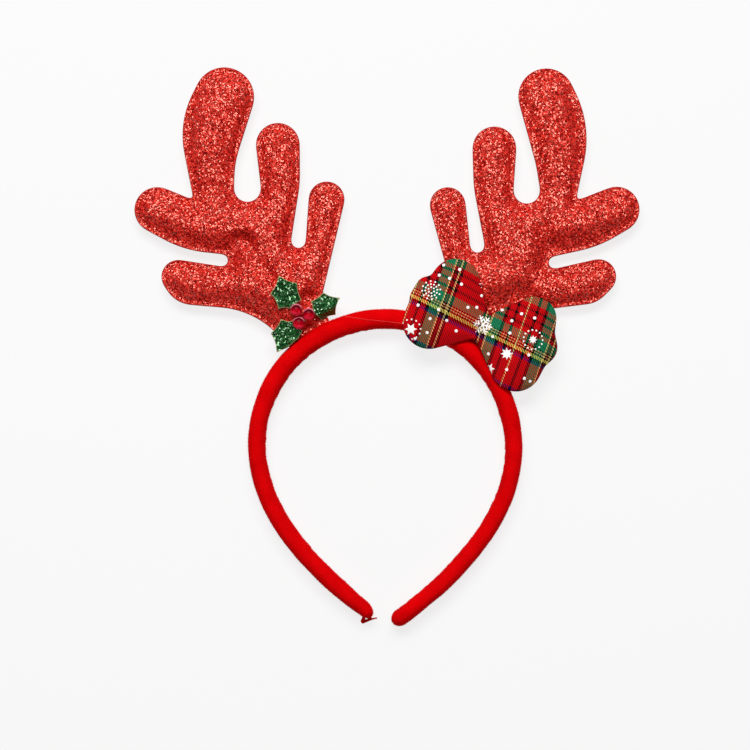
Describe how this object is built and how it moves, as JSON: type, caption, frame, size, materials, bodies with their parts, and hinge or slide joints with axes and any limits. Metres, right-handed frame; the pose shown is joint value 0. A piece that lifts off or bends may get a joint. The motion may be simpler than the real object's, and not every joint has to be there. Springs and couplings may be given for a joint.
{
  "type": "christmas headband",
  "caption": "Padded headband with stuffed glitter reindeer antlers, a holly sprig at one foot and a tartan bow at the other.",
  "frame": {"origin": "under the middle of the headband's box, on the surface it lies on, with the headband on its back", "axes": "+X is the wearer's left, +Y runs from the tips of the band up the antlers, +Z is the front"},
  "size_m": [0.253, 0.279, 0.0212],
  "materials": {
    "velvet": "red velvet with a short nap",
    "red_glitter": "red glitter cloth",
    "tartan": "printed tartan twill",
    "green_glitter": "green glitter felt",
    "berry": "clear glossy red"
  },
  "bodies": {
    "root": {"band": "velvet", "antler_left": "red_glitter", "antler_right": "red_glitter", "bow": "tartan", "holly_leaf_upper": "green_glitter", "holly_leaf_inner": "green_glitter", "holly_leaf_lower": "green_glitter", "berry_upper": "berry", "berry_inner": "berry", "berry_lower": "berry"}
  },
  "joints": []
}
